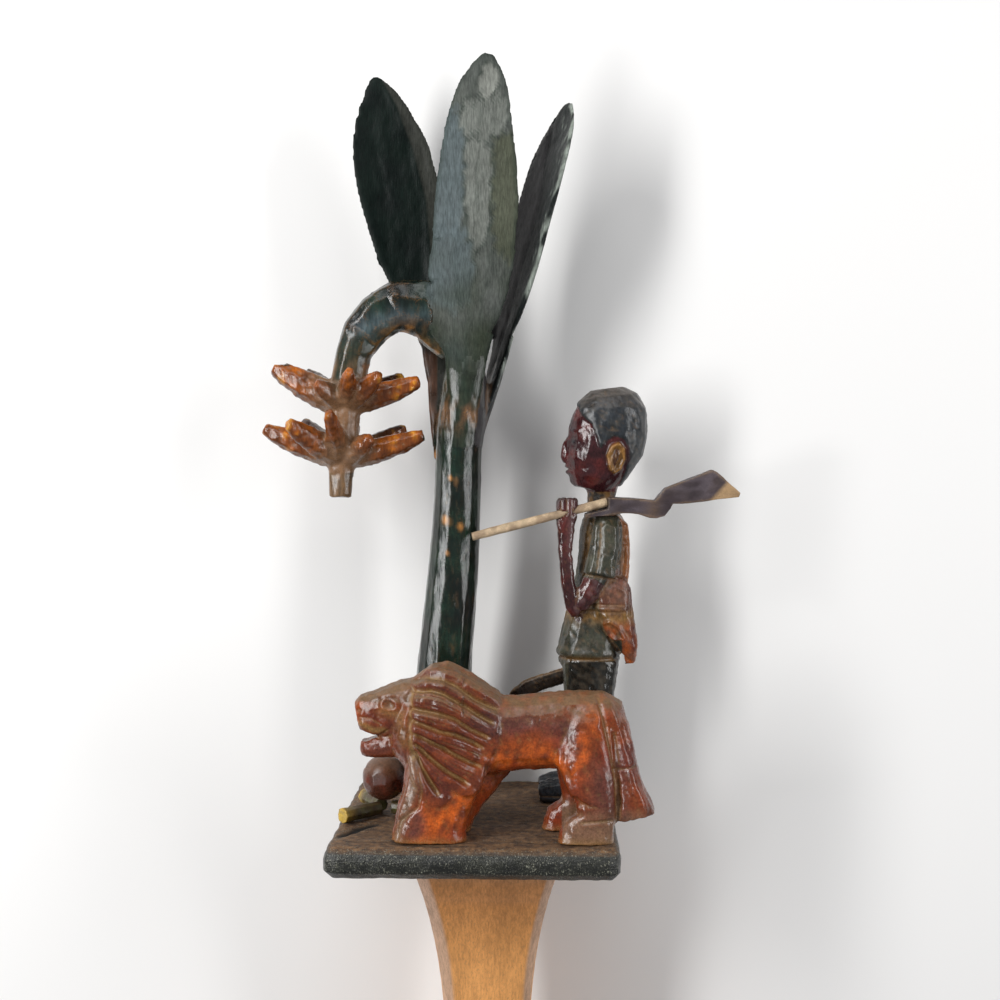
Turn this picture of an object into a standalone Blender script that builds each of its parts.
"""A linguist staff, lying on its back: a gilded shaft that flares under a board, and on the board a plantain
tree, a hunter with a gun and a cutlass, a lion, and a round gourd on three pieces of firewood.

Everything is modelled upright, in the staff's own frame: X to the right, Y away from the front, Z up the
staff, with the middle of the board's top face at the origin. At the end the whole staff is laid down, front
side up. Lengths are in metres. A carving is written in parts of its own height or length."""

import math

import bmesh
import bpy
from mathutils import Matrix, Vector

# Clearances
SEAT_GAP = 0.0003
BORE_CLEARANCE = 0.0004

# Board that carries the carvings
BOARD_WIDTH = 0.112
BOARD_DEPTH = 0.112
BOARD_THICKNESS = 0.0118
BOARD_TOP_ROUND = 0.0044
BOARD_UNDER_BEVEL = 0.0030

# Shaft: square in section, with its four corners cut off
SHAFT_LENGTH = 1.290
SHAFT_X = 0.0041
SHAFT_HEAD_WIDTH = 0.0610
SHAFT_NECK_WIDTH = 0.0340
SHAFT_FOOT_WIDTH = 0.0280
FLARE_LENGTH = 0.090
FLARE_HOLLOW = 2.4
CORNER_CUT_LEFT = 0.0052
CORNER_CUT_RIGHT = 0.0034
CORNER_CUT_BACK = 0.0045
FOOT_BEVEL = 0.0012

# Plantain tree, written in 310 parts of its height
TREE_HEIGHT = 0.310
TREE_PARTS = 310
TREE_X = -0.0165
TREE_Y = 0.0180

# Hunter, written in 175 parts of the hunter's height
HUNTER_HEIGHT = 0.175
HUNTER_PARTS = 175
HUNTER_X = 0.0450
HUNTER_Y = 0.0240

# Place in the hunter's fist that the gun's barrel passes through, in parts of the hunter
GRIP_RIGHT = -8.4
GRIP_BEHIND = -14.9
GRIP_UP = 123.0

# Gun: a rod held in the hunter's fist, and behind it a flat stock, written in 55 parts of its length
GUN_TILT_DEG = 14.0
GUN_TURN_DEG = 7.4
BARREL_RADIUS = 0.0018
BARREL_AHEAD = 0.0407
BARREL_BEHIND = 0.0170
STOCK_LENGTH = 0.055
STOCK_PARTS = 55
STOCK_THICKNESS = 0.0064

# Lion, written in 114 parts of its length
LION_LENGTH = 0.114
LION_PARTS = 114
LION_Y = -0.0340

# Gourd and firewood beside the tree
GOURD_RADIUS = 0.0092
GOURD_X = -0.0378
GOURD_Y = -0.0060
FIREWOOD_RADIUS = 0.0031
FIREWOOD_INNER = 0.0032
FIREWOOD_AZIMUTHS_DEG = (225, 121, 350)
FIREWOOD_LENGTHS = (0.0183, 0.0168, 0.0078)

# How finely the carvings are fused, and the share of the fused triangles that is kept
FUSE_STEP = 0.0008
TREE_KEEP = 0.0178
LION_KEEP = 0.032
HUNTER_KEEP = 0.032


def material(name, colour, roughness, metallic=0.0):
    """A finish as one Principled shader; colour is linear."""
    made = bpy.data.materials.new(name)
    made.use_nodes = True
    shader = made.node_tree.nodes["Principled BSDF"]
    shader.inputs["Base Color"].default_value = (*colour, 1.0)
    shader.inputs["Roughness"].default_value = roughness
    shader.inputs["Metallic"].default_value = metallic
    return made


def finished(name, shape, finish, crease_deg=35):
    """Turns a bmesh into a named object, shaded smooth with its sharp edges kept."""
    bmesh.ops.recalc_face_normals(shape, faces=shape.faces)
    mesh = bpy.data.meshes.new(name)
    shape.to_mesh(mesh)
    shape.free()
    mesh.materials.append(finish)
    mesh.shade_smooth()
    mesh.set_sharp_from_angle(angle=math.radians(crease_deg))
    piece = bpy.data.objects.new(name, mesh)
    bpy.context.scene.collection.objects.link(piece)
    return piece


def ring(shape, centre, across, other, half_across, half_other, sides, squareness, cup):
    """One closed ring: an ellipse, squarer with more squareness, bent by cup into a trough."""
    circle = bmesh.ops.create_circle(shape, segments=sides, radius=1.0)["verts"]
    for vertex in circle:
        c, s = vertex.co.x, vertex.co.y
        u = math.copysign(abs(c) ** (2 / squareness), c)
        v = math.copysign(abs(s) ** (2 / squareness), s)
        vertex.co = centre + across * (u * half_across) + other * (v * half_other + cup * u * u)
    return circle


def limb(shape, stations, across, sides=12, squareness=2.0):
    """A closed tapering body through stations of (x, y, z, half size across, other half size, cup)."""
    places = [Vector(station[:3]) for station in stations]
    rings = []
    for i, station in enumerate(stations):
        ahead = places[min(i + 1, len(places) - 1)] - places[max(i - 1, 0)]
        tangent = ahead.normalized()
        side = (across - tangent * across.dot(tangent)).normalized()
        cup = station[5] if len(station) > 5 else 0.0
        other = tangent.cross(side)
        rings.append(ring(shape, places[i], side, other, station[3], station[4], sides, squareness, cup))
    for lower, upper in zip(rings, rings[1:]):
        for i in range(sides):
            j = (i + 1) % sides
            shape.faces.new((lower[i], lower[j], upper[j], upper[i]))
    shape.faces.new(rings[0][::-1])
    shape.faces.new(rings[-1])


def carving(name, shape, finish, keep, unit, origin):
    """Fuses overlapping limbs, written in parts, into one solid of the carved size, and seats it."""
    bmesh.ops.transform(shape, matrix=Matrix.Translation(origin) @ Matrix.Scale(unit, 4), verts=shape.verts)
    piece = finished(name, shape, finish)
    fuse = piece.modifiers.new("fuse the limbs", "REMESH")
    fuse.mode = "VOXEL"
    fuse.voxel_size = FUSE_STEP
    ease = piece.modifiers.new("ease the joints", "SMOOTH")
    ease.factor = 0.5
    ease.iterations = 3
    fewer = piece.modifiers.new("keep few faces", "DECIMATE")
    fewer.ratio = keep
    sit_on_board(piece)
    return piece


def shaft_outline(width):
    """The shaft's section: a square with its corners cut, the left front corner most."""
    half = width / 2
    left, right, back = CORNER_CUT_LEFT, CORNER_CUT_RIGHT, CORNER_CUT_BACK
    return [
        (-half + left, -half),
        (half - right, -half),
        (half, -half + right),
        (half, half - back),
        (half - back, half),
        (-half + back, half),
        (-half, half - back),
        (-half, -half + left),
    ]


def shaft_width(below_head):
    """The shaft's width at a depth below its head: a hollow flare, then a long even taper."""
    if below_head < FLARE_LENGTH:
        left_to_neck = 1 - below_head / FLARE_LENGTH
        return SHAFT_NECK_WIDTH + (SHAFT_HEAD_WIDTH - SHAFT_NECK_WIDTH) * left_to_neck**FLARE_HOLLOW
    along = (below_head - FLARE_LENGTH) / (SHAFT_LENGTH - FLARE_LENGTH)
    return SHAFT_NECK_WIDTH + (SHAFT_FOOT_WIDTH - SHAFT_NECK_WIDTH) * along


def make_shaft(finish):
    """The gilded shaft, from its head under the board down to its flat foot."""
    shape = bmesh.new()
    flare_steps = 10
    depths = [FLARE_LENGTH * i / flare_steps for i in range(flare_steps + 1)]
    depths += [SHAFT_LENGTH - FOOT_BEVEL, SHAFT_LENGTH]
    head = -BOARD_THICKNESS - SEAT_GAP
    loops = []
    for depth in depths:
        trim = 2 * FOOT_BEVEL if depth == SHAFT_LENGTH else 0.0
        outline = shaft_outline(shaft_width(depth) - trim)
        loops.append([shape.verts.new((SHAFT_X + x, y, head - depth)) for x, y in outline])
    sides = len(loops[0])
    for upper, lower in zip(loops, loops[1:]):
        for i in range(sides):
            j = (i + 1) % sides
            shape.faces.new((upper[i], upper[j], lower[j], lower[i]))
    shape.faces.new(loops[0])
    shape.faces.new(loops[-1][::-1])
    return finished("staff_shaft", shape, finish, 12)


def make_board(finish):
    """The square board, its top edge rounded and its lower edge bevelled."""
    shape = bmesh.new()
    bmesh.ops.create_cube(shape, size=1.0)
    bmesh.ops.scale(shape, vec=(BOARD_WIDTH, BOARD_DEPTH, BOARD_THICKNESS), verts=shape.verts)
    bmesh.ops.translate(shape, vec=(0, 0, -BOARD_THICKNESS / 2), verts=shape.verts)
    middle = -BOARD_THICKNESS / 2
    corners = [e for e in shape.edges if (e.verts[0].co.z - middle) * (e.verts[1].co.z - middle) < 0]
    round_edges(shape, corners, BOARD_TOP_ROUND, 2)
    top = [e for e in shape.edges if min(v.co.z for v in e.verts) > middle]
    round_edges(shape, top, BOARD_TOP_ROUND, 3)
    under = [e for e in shape.edges if max(v.co.z for v in e.verts) < -BOARD_THICKNESS + SEAT_GAP]
    round_edges(shape, under, BOARD_UNDER_BEVEL, 1)
    return finished("plinth_board", shape, finish)


def round_edges(shape, edges, size, steps):
    """Rounds the given edges in so many steps; one step is a plain bevel."""
    bmesh.ops.bevel(shape, geom=edges, offset=size, segments=steps, profile=0.5, affect="EDGES", material=-1)


def leaf(shape, midrib, half_widths, across, thickness, trough):
    """A long blade on a midrib of (x, y, z) points, with one half width for each point."""
    last = len(midrib) - 1
    stations = []
    for i, (place, half_width) in enumerate(zip(midrib, half_widths)):
        thinner = 1 - 0.6 * i / last
        stations.append((*place, half_width, thickness * thinner, trough * half_width))
    limb(shape, stations, across, sides=14, squareness=1.7)


def fruit(shape, hub, azimuth_deg, length, lift_deg, girth):
    """One plantain finger that leaves the bunch at hub and curves upwards."""
    azimuth = math.radians(azimuth_deg)
    outward = Vector((math.cos(azimuth), math.sin(azimuth), 0))
    stations = []
    for share, size in ((0.0, 1.05), (0.3, 1.1), (0.6, 1.0), (0.85, 0.76), (1.0, 0.5)):
        rise = math.tan(math.radians(lift_deg)) * share + 0.10 * share * share
        place = hub + outward * (share * length) + Vector((0, 0, rise * length))
        stations.append((*place, girth * size * 0.85, girth * size))
    limb(shape, stations, outward.cross(Vector((0, 0, 1))), sides=7, squareness=2.0)


def make_tree(finish):
    """Trunk, three leaves and a bowed fruit stalk with two hands of plantains, all from one block."""
    shape = bmesh.new()
    depthwise = Vector((0, 1, 0))
    trunk = [
        (-1.5, 0, 0, 12.8, 12.8),
        (-0.5, 0, 25, 12.3, 12.4),
        (2.0, 0, 60, 11.8, 11.8),
        (4.3, 0, 86, 11.1, 11.2),
        (6.2, 0, 111, 10.3, 10.4),
        (7.0, 0, 128, 9.8, 10.0),
        (7.7, 0, 149, 9.7, 10.0),
        (9.0, 0, 161, 10.2, 11.0),
        (10.4, -1, 176, 9.6, 10.0),
        (10.8, -2, 192, 6.0, 6.6),
    ]
    limb(shape, [(x, y, z, b, a) for x, y, z, a, b in trunk], depthwise, sides=14, squareness=2.2)

    front_midrib = [
        (9.0, -7, 150), (10.4, -9, 172), (11.3, -10.5, 186), (11.4, -11.5, 194), (11.6, -12, 202),
        (12.4, -12.5, 211), (13.2, -13, 219), (14.7, -13.5, 234), (15.8, -13.5, 250), (16.3, -13, 266),
        (16.9, -12.5, 278), (17.2, -12, 289), (18.8, -11.5, 299), (19.8, -11, 306.5), (20.4, -11, 311),
    ]
    front_widths = [5.4, 7.4, 9.2, 11.2, 13.9, 16.2, 17.6, 18.4, 18.2, 17.6, 16.0, 14.0, 11.8, 7.2, 2.4]
    leaf(shape, front_midrib, front_widths, Vector((1, 0, 0)), 2.6, 0.10)

    left_midrib = [
        (1.0, 9, 144), (0.8, 10, 160), (0.8, 11, 178), (0.0, 12, 194), (-4.0, 13, 210), (-7.6, 13.5, 220),
        (-10.8, 14, 229), (-15.5, 15, 247), (-20.3, 15.5, 265), (-22.0, 16, 275), (-24.2, 16, 284),
        (-25.8, 16.5, 292), (-27.0, 17, 301), (-29.8, 17, 308.5),
    ]
    left_widths = [4.6, 6.4, 7.8, 9.8, 12.8, 15.0, 16.8, 18.4, 18.6, 18.0, 16.2, 13.2, 8.8, 2.2]
    leaf(shape, left_midrib, left_widths, Vector((1, 0.12, 0)), 2.6, -0.12)

    right_midrib = [
        (14.0, 3, 150), (18.0, 4, 164), (22.6, 5, 178), (25.8, 5.5, 190), (28.0, 6, 200), (31.0, 6, 211),
        (35.4, 6.5, 226), (40.4, 7, 246), (42.8, 7, 254), (46.9, 7.5, 269), (50.6, 8, 281), (53.0, 8, 289),
        (54.0, 8, 295),
    ]
    right_widths = [4.4, 6.0, 7.2, 8.0, 10.6, 15.2, 17.4, 18.4, 18.6, 18.0, 14.8, 10.6, 3.6]
    leaf(shape, right_midrib, right_widths, Vector((0.47, -0.88, 0)), 2.6, -0.16)

    stalk = [
        (8.0, -3, 190, 6.0, 8.0),
        (2.0, -4, 201, 7.8, 13.2),
        (-3.5, -5, 206.3, 8.0, 12.8),
        (-10.0, -6, 208.0, 8.0, 11.8),
        (-17.4, -7, 208.0, 8.0, 11.0),
        (-24.6, -8, 204.4, 7.8, 10.0),
        (-31.4, -9, 196.8, 7.4, 9.0),
        (-35.2, -9, 188.6, 7.2, 7.6),
        (-37.0, -9, 180, 7.0, 7.4),
        (-38.6, -9, 170, 7.0, 7.4),
        (-39.8, -9, 160, 6.2, 6.8),
        (-40.2, -9, 150, 6.8, 7.2),
        (-40.6, -9, 142, 5.4, 5.6),
        (-40.8, -9, 135, 4.9, 5.2),
        (-41.0, -9, 129.0, 4.6, 4.9),
    ]
    limb(shape, stalk, depthwise, sides=10, squareness=2.4)
    upper_hand = Vector((-38.6, -9, 168.0))
    lower_hand = Vector((-39.8, -9, 145.5))
    for azimuth, length, lift, girth in (
        (180, 30, 22, 6.4), (135, 27, 22, 4.8), (85, 22, 26, 4.4), (30, 26, 19, 4.8), (356, 31, 11, 5.2),
        (314, 23, 21, 4.8), (282, 20, 28, 4.6), (232, 17, 20, 4.6),
    ):
        fruit(shape, upper_hand, azimuth, length, lift, girth)
    for azimuth, length, lift, girth in (
        (182, 33, 15, 5.4), (222, 27, 23, 5.4), (262, 21, 38, 4.6), (316, 18, 20, 4.8), (354, 34, 10, 5.2),
        (28, 28, 19, 4.6), (85, 24, 26, 4.4), (135, 28, 24, 4.6),
    ):
        fruit(shape, lower_hand, azimuth, length, lift, girth)

    unit = TREE_HEIGHT / TREE_PARTS
    return carving("plantain_tree", shape, finish, TREE_KEEP, unit, Vector((TREE_X, TREE_Y, 0)))


def sit_on_board(piece):
    """Cuts a carving off flat just above the board, so that it stands there with the seat gap."""
    cutter = bmesh.new()
    bmesh.ops.create_cube(cutter, size=1.0)
    depth = BOARD_THICKNESS
    bmesh.ops.scale(cutter, vec=(2 * BOARD_WIDTH, 2 * BOARD_DEPTH, depth), verts=cutter.verts)
    bmesh.ops.translate(cutter, vec=(0, 0, SEAT_GAP - depth / 2), verts=cutter.verts)
    guide = finished(piece.name + "_seat_cutter", cutter, piece.data.materials[0])
    subtract(piece, guide)


def subtract(piece, guide):
    """Takes the guide's solid out of the piece, and keeps the guide out of the model."""
    guide.hide_render = True
    guide.display_type = "WIRE"
    cut = piece.modifiers.new("cut by " + guide.name, "BOOLEAN")
    cut.operation = "DIFFERENCE"
    cut.solver = "EXACT"
    cut.object = guide


def make_hunter(finish):
    """The standing hunter: tunic, bag, boots, gun hand, and a cutlass in the far hand."""
    shape = bmesh.new()
    depthwise = Vector((0, 1, 0))
    head = [
        (2.0, 0, 132.0, 7.0, 7.6),
        (3.0, 0, 137.0, 10.0, 11.6),
        (4.6, 0, 143.0, 12.2, 13.8),
        (7.4, 0, 151.0, 13.2, 16.2),
        (9.2, 0, 159.0, 13.2, 16.2),
        (9.6, 0, 166.0, 12.0, 14.6),
        (9.0, 0, 170.4, 9.6, 11.8),
        (8.6, 0, 173.6, 5.6, 7.0),
    ]
    limb(shape, head, depthwise, sides=16, squareness=2.3)
    nose = [
        (-8.4, 0, 153, 1.2, 1.2),
        (-9.4, 0, 149, 1.7, 1.6),
        (-10.2, 0, 146, 2.2, 1.6),
        (-8.6, 0, 143.6, 1.8, 1.4),
    ]
    limb(shape, nose, depthwise, sides=8)
    for side in (-1, 1):
        ear = [
            (10.2, side * 12.6, 141, 1.3, 1.6),
            (11.6, side * 13.2, 146, 1.5, 2.8),
            (11.2, side * 13.0, 151, 1.3, 2.0),
        ]
        limb(shape, ear, depthwise, sides=8)
    neck = [
        (6.4, 0, 115, 7.0, 7.6), (6.3, 0, 123, 5.8, 6.2), (6.3, 0, 129, 5.6, 6.0), (7.0, 0, 138, 6.4, 7.4),
    ]
    limb(shape, neck, depthwise, sides=12)
    torso = [
        (1.4, 0, 58.6, 13.0, 13.0),
        (1.2, 0, 63, 13.4, 13.6),
        (2.2, 0, 72, 12.4, 12.6),
        (4.0, 0, 82, 11.2, 11.8),
        (5.8, 0, 94, 10.6, 10.4),
        (6.8, 0, 106, 11.2, 10.2),
        (7.0, 0, 114, 12.4, 10.0),
        (7.2, 0, 119, 11.8, 9.0),
        (7.2, 0, 121.6, 9.0, 7.0),
    ]
    limb(shape, torso, depthwise, sides=16, squareness=2.5)
    for side in (-1, 1):
        leg = [
            (2.6, side * 6.4, 4, 5.2, 6.0),
            (2.0, side * 6.4, 14, 5.0, 6.4),
            (1.2, side * 6.4, 30, 5.6, 8.6),
            (1.2, side * 6.4, 46, 6.2, 10.6),
            (1.6, side * 6.2, 60, 6.8, 12.2),
        ]
        limb(shape, leg, depthwise, sides=12, squareness=2.4)
        boot = [
            (8.0, side * 6.4, 5.0, 4.8, 5.2),
            (2.0, side * 6.6, 6.0, 5.2, 7.0),
            (-8.0, side * 7.0, 5.0, 5.2, 5.6),
            (-15.0, side * 7.2, 4.4, 4.8, 4.8),
            (-20.0, side * 7.2, 3.6, 3.6, 3.6),
        ]
        limb(shape, boot, depthwise, sides=12, squareness=2.8)

    sleeve = [
        (8.0, -8.6, 120.6, 3.4, 5.0), (8.0, -10.0, 116, 4.8, 7.0), (7.4, -11.6, 106, 5.0, 7.2),
        (5.2, -12.6, 96.4, 5.4, 7.2),
    ]
    limb(shape, sleeve, depthwise, sides=12, squareness=2.4)
    near_upper_arm = [(4.6, -12.4, 98, 3.8, 5.0), (0.8, -13.0, 90, 3.6, 4.8), (-3.6, -13.4, 83.4, 3.0, 3.6)]
    limb(shape, near_upper_arm, depthwise, sides=10)
    near_forearm = [
        (-4.6, -13.0, 79.6, 2.4, 2.0), (-6.2, -13.4, 84, 2.6, 3.2), (-8.0, -13.8, 93, 2.6, 3.0),
        (-9.2, -14.0, 106, 2.5, 3.0), (-9.0, -14.0, 117, 2.9, 3.8), (-8.6, -13.8, 122, 3.8, 4.7),
        (-8.4, -13.8, 127, 3.8, 5.0), (-8.4, -13.8, 129, 3.0, 4.2),
    ]
    limb(shape, near_forearm, depthwise, sides=10, squareness=3.0)
    far_sleeve = [
        (8.0, 8.6, 120.6, 3.4, 5.0), (8.0, 10.0, 116, 4.8, 7.0), (7.6, 11.6, 106, 5.0, 7.0),
        (6.8, 12.6, 96.4, 5.2, 6.8),
    ]
    limb(shape, far_sleeve, depthwise, sides=12, squareness=2.4)
    far_arm = [
        (6.8, 12.4, 99, 3.6, 4.8),
        (7.2, 13.4, 86, 3.4, 4.2),
        (6.2, 14.0, 72, 3.0, 3.6),
        (3.0, 14.4, 60, 3.0, 3.4),
    ]
    limb(shape, far_arm, depthwise, sides=10)
    far_fist = [(3.4, 14.4, 61, 3.0, 3.6), (2.0, 14.4, 56, 3.5, 4.4), (1.4, 14.4, 51.6, 2.8, 3.6)]
    limb(shape, far_fist, depthwise, sides=10, squareness=2.6)
    cutlass = [
        (8.0, 14.4, 56.6, 1.5, 1.8), (0.0, 14.4, 53.6, 1.5, 2.4), (-9.6, 14.4, 50.0, 1.5, 3.7),
        (-17.5, 14.4, 47.6, 1.5, 3.7), (-25.0, 14.4, 44.8, 1.4, 3.9), (-30.6, 14.4, 41.2, 1.3, 3.2),
        (-34.4, 14.4, 36.4, 1.1, 1.4),
    ]
    limb(shape, cutlass, depthwise, sides=8, squareness=2.6)
    bag = [
        (18.4, -9.0, 59.4, 2.2, 2.0), (17.4, -10.0, 66, 4.0, 4.2), (14.6, -10.8, 74, 4.6, 6.0),
        (11.4, -10.8, 82, 4.6, 8.0), (10.4, -10.4, 90, 4.0, 8.2), (10.6, -9.6, 95, 2.6, 6.8),
    ]
    limb(shape, bag, depthwise, sides=12, squareness=2.4)
    strap = [
        (11.4, -8.6, 121.6, 2.4, 1.4), (15.6, -7.4, 117, 2.4, 1.8), (16.4, -5.6, 110, 2.6, 1.7),
        (16.6, -4.6, 103, 2.8, 1.7), (15.4, -5.6, 92, 2.8, 2.0),
    ]
    limb(shape, strap, depthwise, sides=8, squareness=2.6)

    unit = HUNTER_HEIGHT / HUNTER_PARTS
    return carving("hunter", shape, finish, HUNTER_KEEP, unit, Vector((HUNTER_X, HUNTER_Y, 0)))


def gun_line():
    """The barrel's two ends, muzzle first: a line through the hunter's fist, tilted and turned."""
    unit = HUNTER_HEIGHT / HUNTER_PARTS
    fist = Vector((HUNTER_X, HUNTER_Y, 0)) + unit * Vector((GRIP_RIGHT, GRIP_BEHIND, GRIP_UP))
    tilt = math.radians(GUN_TILT_DEG)
    turn = math.radians(GUN_TURN_DEG)
    aim = Vector((math.cos(tilt) * math.cos(turn), math.cos(tilt) * math.sin(turn), math.sin(tilt)))
    return fist - aim * BARREL_AHEAD, fist + aim * BARREL_BEHIND


def barrel_solid(name, radius, overrun, finish):
    """The barrel's rod, or with an overrun the cutter for its hole in the hand."""
    muzzle, breech = gun_line()
    shape = bmesh.new()
    length = (breech - muzzle).length + 2 * overrun
    bmesh.ops.create_cone(shape, cap_ends=True, segments=12, radius1=radius, radius2=radius, depth=length)
    turn = (breech - muzzle).to_track_quat("Z", "Y").to_matrix().to_4x4()
    bmesh.ops.transform(shape, matrix=Matrix.Translation((muzzle + breech) / 2) @ turn, verts=shape.verts)
    return finished(name, shape, finish)


def stock_solid(name, thickness, grow, finish):
    """The stock, cut from a plank to its side outline; grow widens it all round for a cutter."""
    breech = gun_line()[1]
    unit = STOCK_LENGTH / STOCK_PARTS
    outline = [
        (-9.0, -6.6), (0.0, -5.6), (6.3, -4.6), (12.8, -4.9), (17.8, -6.2), (20.6, -6.6), (24.0, -5.7),
        (26.4, -2.8), (27.3, -0.8), (34.2, -0.3), (44.5, 1.0), (54.3, 2.2), (54.8, 3.9), (45.2, 12.5),
        (43.2, 13.4), (34.2, 10.0), (23.9, 5.9), (19.8, 0.8), (13.7, 1.5), (3.8, 2.0), (0.5, 2.0),
        (0.5, -2.6), (-9.0, -4.9),
    ]
    centre = sum((Vector(point) for point in outline), Vector((0, 0))) / len(outline)
    shape = bmesh.new()
    rim = []
    for x, z in outline:
        outwards = (Vector((x, z)) - centre).normalized() * grow
        offset = Vector((x * unit + outwards.x, -thickness / 2, z * unit + outwards.y))
        rim.append(shape.verts.new(breech + offset))
    side = shape.faces.new(rim)
    swept = bmesh.ops.extrude_face_region(shape, geom=[side])["geom"]
    far = [item for item in swept if isinstance(item, bmesh.types.BMVert)]
    bmesh.ops.translate(shape, vec=(0, thickness, 0), verts=far)
    return finished(name, shape, finish)


def make_gun(wood, paint, hunter):
    """The gun: a plain rod for the barrel and a flat stock, let into the hunter's hand and shoulder."""
    barrel_solid("gun_barrel", BARREL_RADIUS, 0.0, wood)
    stock = stock_solid("gun_stock", STOCK_THICKNESS, 0.0, paint)
    subtract(stock, barrel_solid("stock_groove_cutter", BARREL_RADIUS + BORE_CLEARANCE, BORE_CLEARANCE, wood))
    subtract(hunter, barrel_solid("hand_hole_cutter", BARREL_RADIUS + BORE_CLEARANCE, BORE_CLEARANCE, wood))
    subtract(hunter, stock_solid("shoulder_seat_cutter", STOCK_THICKNESS + 2 * SEAT_GAP, SEAT_GAP, paint))


def make_lion(finish):
    """The walking lion, mouth open, with a deep mane and a tail that hangs down to a broad tuft."""
    shape = bmesh.new()
    depthwise = Vector((0, 1, 0))
    body = [
        (-22, 0, 44, 11, 14),
        (-12, 0, 42, 13.5, 17),
        (0, 0, 40.0, 13, 16.6),
        (10, 0, 39.6, 11.6, 15.0),
        (18, 0, 40.2, 11.2, 14.4),
        (28, 0, 41.0, 11.4, 14.8),
        (38, 0, 41.4, 12.2, 15.2),
        (47, 0, 40.6, 12.0, 16.2),
        (52, 0, 39, 9.8, 14.4),
        (55.5, 0, 37.5, 5.0, 9.0),
    ]
    limb(shape, body, depthwise, sides=18, squareness=2.3)
    mane = [
        (-28.5, 0, 49.4, 8.5, 11.6),
        (-25.5, 0, 48.4, 12.6, 17.2),
        (-21, 0, 46.4, 15.0, 21.2),
        (-13, 0, 45.2, 15.8, 22.8),
        (-5, 0, 44.2, 14.8, 20.6),
        (3, 0, 43.4, 13.0, 16.0),
        (10, 0, 42.6, 10.2, 12.0),
    ]
    limb(shape, mane, depthwise, sides=18, squareness=2.2)
    chest = [
        (-19, 0, 52, 11, 9.0), (-18.5, 0, 40, 13.4, 11.0), (-17.0, 0, 30, 14.2, 10.0),
        (-16.4, 0, 20, 13.8, 10.6), (-16.5, 0, 10, 13.2, 12.4), (-16, 0, 4, 12.2, 12.4),
    ]
    limb(shape, chest, depthwise, sides=14, squareness=2.6)
    head = [
        (-20, 0, 50, 10.6, 11.6),
        (-27, 0, 49.6, 10.0, 10.8),
        (-33, 0, 48.2, 9.0, 9.6),
        (-38.6, 0, 47.0, 7.8, 8.8),
        (-43.0, 0, 46.6, 6.8, 8.0),
        (-44.8, 0, 46.2, 5.4, 6.2),
    ]
    limb(shape, head, depthwise, sides=14, squareness=3.0)
    jaw = [
        (-22, 0, 39, 8.4, 8.4), (-31, 0, 35.6, 6.8, 5.4), (-37, 0, 34.4, 5.8, 4.2),
        (-42.0, 0, 34.0, 5.0, 4.0), (-43.8, 0, 34.0, 3.6, 2.6),
    ]
    limb(shape, jaw, depthwise, sides=12, squareness=2.6)
    near_fore_leg = [
        (-8.0, -8.6, 36, 5.6, 15), (-10.8, -9.0, 26, 5.8, 15.4), (-14.0, -9.4, 16, 5.6, 13.6),
        (-15.8, -9.5, 8, 5.6, 14.0), (-16.6, -9.5, 3, 5.8, 14.4), (-16.8, -9.5, -3, 5.8, 14.6),
    ]
    limb(shape, near_fore_leg, depthwise, sides=12, squareness=2.8)
    far_fore_leg = [
        (-3.0, 8.0, 38, 6.0, 19), (-5.0, 6.6, 30, 7.4, 20.6), (-7.6, 6.4, 22, 7.8, 17.4),
        (-10.2, 6.6, 15, 7.6, 14.6), (-12.4, 6.8, 8, 7.6, 12.8), (-13.6, 7.0, 3, 7.6, 12.4),
        (-13.8, 7.0, -3, 7.6, 12.4),
    ]
    limb(shape, far_fore_leg, depthwise, sides=12, squareness=2.8)
    for side in (-1, 1):
        forwards = 0 if side < 0 else -6.0
        hind_leg = [
            (42.0, side * 7.6, 42, 5.0, 11.0),
            (43.0 + 0.2 * forwards, side * 8.8, 32, 6.0, 11.6),
            (45.0 + 0.5 * forwards, side * 9.3, 23, 6.0, 10.0),
            (47.2 + forwards, side * 9.5, 14, 5.6, 7.6),
            (47.0 + forwards, side * 9.5, 9.6, 5.4, 7.4),
            (44.0 + forwards, side * 9.5, 5, 5.4, 10.2),
            (42.4 + forwards, side * 9.5, -3, 5.6, 11.0),
        ]
        limb(shape, hind_leg, depthwise, sides=12, squareness=2.8)
    tail = [
        (46.0, -1, 52.4, 4.0, 3.4),
        (51.2, -2, 50.0, 5.0, 4.6),
        (54.4, -3, 43.0, 5.4, 5.2),
        (56.4, -4, 35.0, 5.6, 5.2),
        (57.8, -5, 27.6, 5.8, 5.2),
        (59.4, -6, 20.0, 6.4, 5.8),
        (61.0, -6.5, 14.0, 6.8, 7.2),
        (62.0, -6.5, 9.6, 6.4, 7.8),
    ]
    limb(shape, tail, depthwise, sides=12, squareness=2.8)

    unit = LION_LENGTH / LION_PARTS
    return carving("lion", shape, finish, LION_KEEP, unit, Vector((0, LION_Y, 0)))


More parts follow.
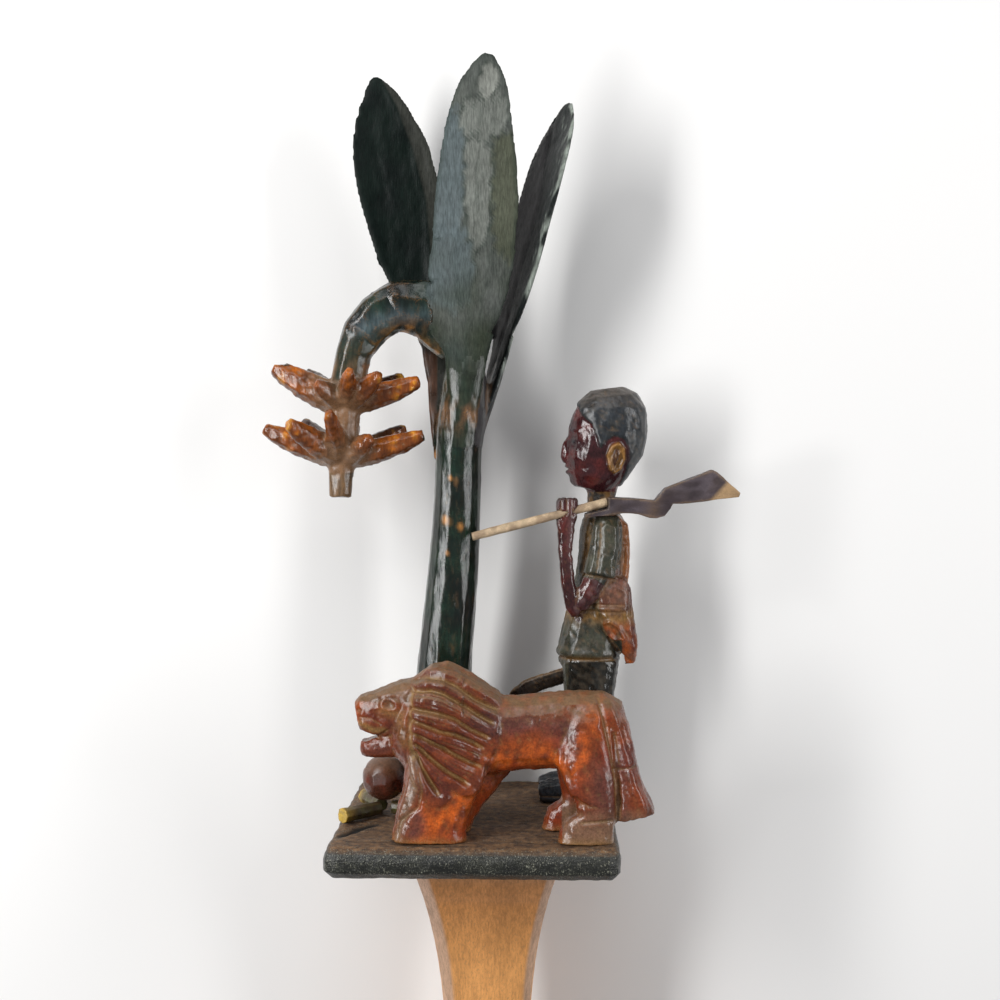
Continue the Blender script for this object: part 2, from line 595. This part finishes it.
def make_hearth(gourd_finish, wood_finish):
    """A round gourd on three pieces of firewood, whose inner ends lie below it."""
    log_z = SEAT_GAP + FIREWOOD_RADIUS
    hollow = GOURD_RADIUS - math.sqrt(GOURD_RADIUS**2 - FIREWOOD_INNER**2)
    gourd_z = log_z + FIREWOOD_RADIUS + SEAT_GAP - hollow + GOURD_RADIUS
    shape = bmesh.new()
    bmesh.ops.create_uvsphere(shape, u_segments=16, v_segments=10, radius=GOURD_RADIUS)
    bmesh.ops.translate(shape, vec=(GOURD_X, GOURD_Y, gourd_z), verts=shape.verts)
    finished("round_gourd", shape, gourd_finish)
    for i, (azimuth_deg, length) in enumerate(zip(FIREWOOD_AZIMUTHS_DEG, FIREWOOD_LENGTHS)):
        shape = bmesh.new()
        thin_end = FIREWOOD_RADIUS * 0.94
        bmesh.ops.create_cone(
            shape, cap_ends=True, segments=8, radius1=FIREWOOD_RADIUS, radius2=thin_end, depth=length
        )
        azimuth = math.radians(azimuth_deg)
        outward = Vector((math.cos(azimuth), math.sin(azimuth), 0))
        middle = Vector((GOURD_X, GOURD_Y, log_z)) + outward * (FIREWOOD_INNER + length / 2)
        turn = (-outward).to_track_quat("Z", "Y").to_matrix().to_4x4()
        bmesh.ops.transform(shape, matrix=Matrix.Translation(middle) @ turn, verts=shape.verts)
        finished("firewood_%d" % (i + 1), shape, wood_finish)


def lay_down():
    """Hangs every piece on one empty and lays it on its back, with the box's middle over the origin."""
    staff = bpy.data.objects.new("lying_staff", None)
    bpy.context.scene.collection.objects.link(staff)
    pieces = [piece for piece in bpy.data.objects if piece.type == "MESH"]
    for piece in pieces:
        piece.parent = staff
    foot_y = SHAFT_FOOT_WIDTH / 2
    board_low = -BOARD_THICKNESS + BOARD_UNDER_BEVEL
    foot_low = -BOARD_THICKNESS - SEAT_GAP - SHAFT_LENGTH + FOOT_BEVEL
    slope = math.atan2(BOARD_DEPTH / 2 - foot_y, board_low - foot_low)
    staff.rotation_euler = (slope - math.pi / 2, 0, 0)
    bpy.context.view_layer.update()
    graph = bpy.context.evaluated_depsgraph_get()
    low = Vector((math.inf,) * 3)
    high = Vector((-math.inf,) * 3)
    for piece in pieces:
        if piece.hide_render:
            continue
        shown = piece.evaluated_get(graph)
        mesh = shown.to_mesh()
        for vertex in mesh.vertices:
            place = shown.matrix_world @ vertex.co
            low = Vector(map(min, low, place))
            high = Vector(map(max, high, place))
        shown.to_mesh_clear()
    staff.location = (-(low.x + high.x) / 2, -(low.y + high.y) / 2, -low.z)


def main():
    for old in list(bpy.data.objects):
        bpy.data.objects.remove(old)
    gold = material("gilded_wood", (0.49, 0.27, 0.09), 0.35, 0.6)
    board_paint = material("black_green_paint", (0.03, 0.035, 0.03), 0.45)
    tree_paint = material("green_paint", (0.03, 0.06, 0.045), 0.25)
    hunter_paint = material("hunter_paint", (0.10, 0.045, 0.035), 0.3)
    lion_paint = material("red_brown_paint", (0.30, 0.08, 0.025), 0.35)
    stock_paint = material("purple_brown_paint", (0.075, 0.05, 0.055), 0.55)
    bare_wood = material("bare_wood", (0.45, 0.34, 0.24), 0.6)
    gourd_paint = material("gourd_paint", (0.10, 0.035, 0.03), 0.35)
    log_paint = material("yellow_paint", (0.40, 0.28, 0.05), 0.4)

    make_shaft(gold)
    make_board(board_paint)
    make_tree(tree_paint)
    hunter = make_hunter(hunter_paint)
    make_gun(bare_wood, stock_paint, hunter)
    make_lion(lion_paint)
    make_hearth(gourd_paint, log_paint)
    lay_down()


main()
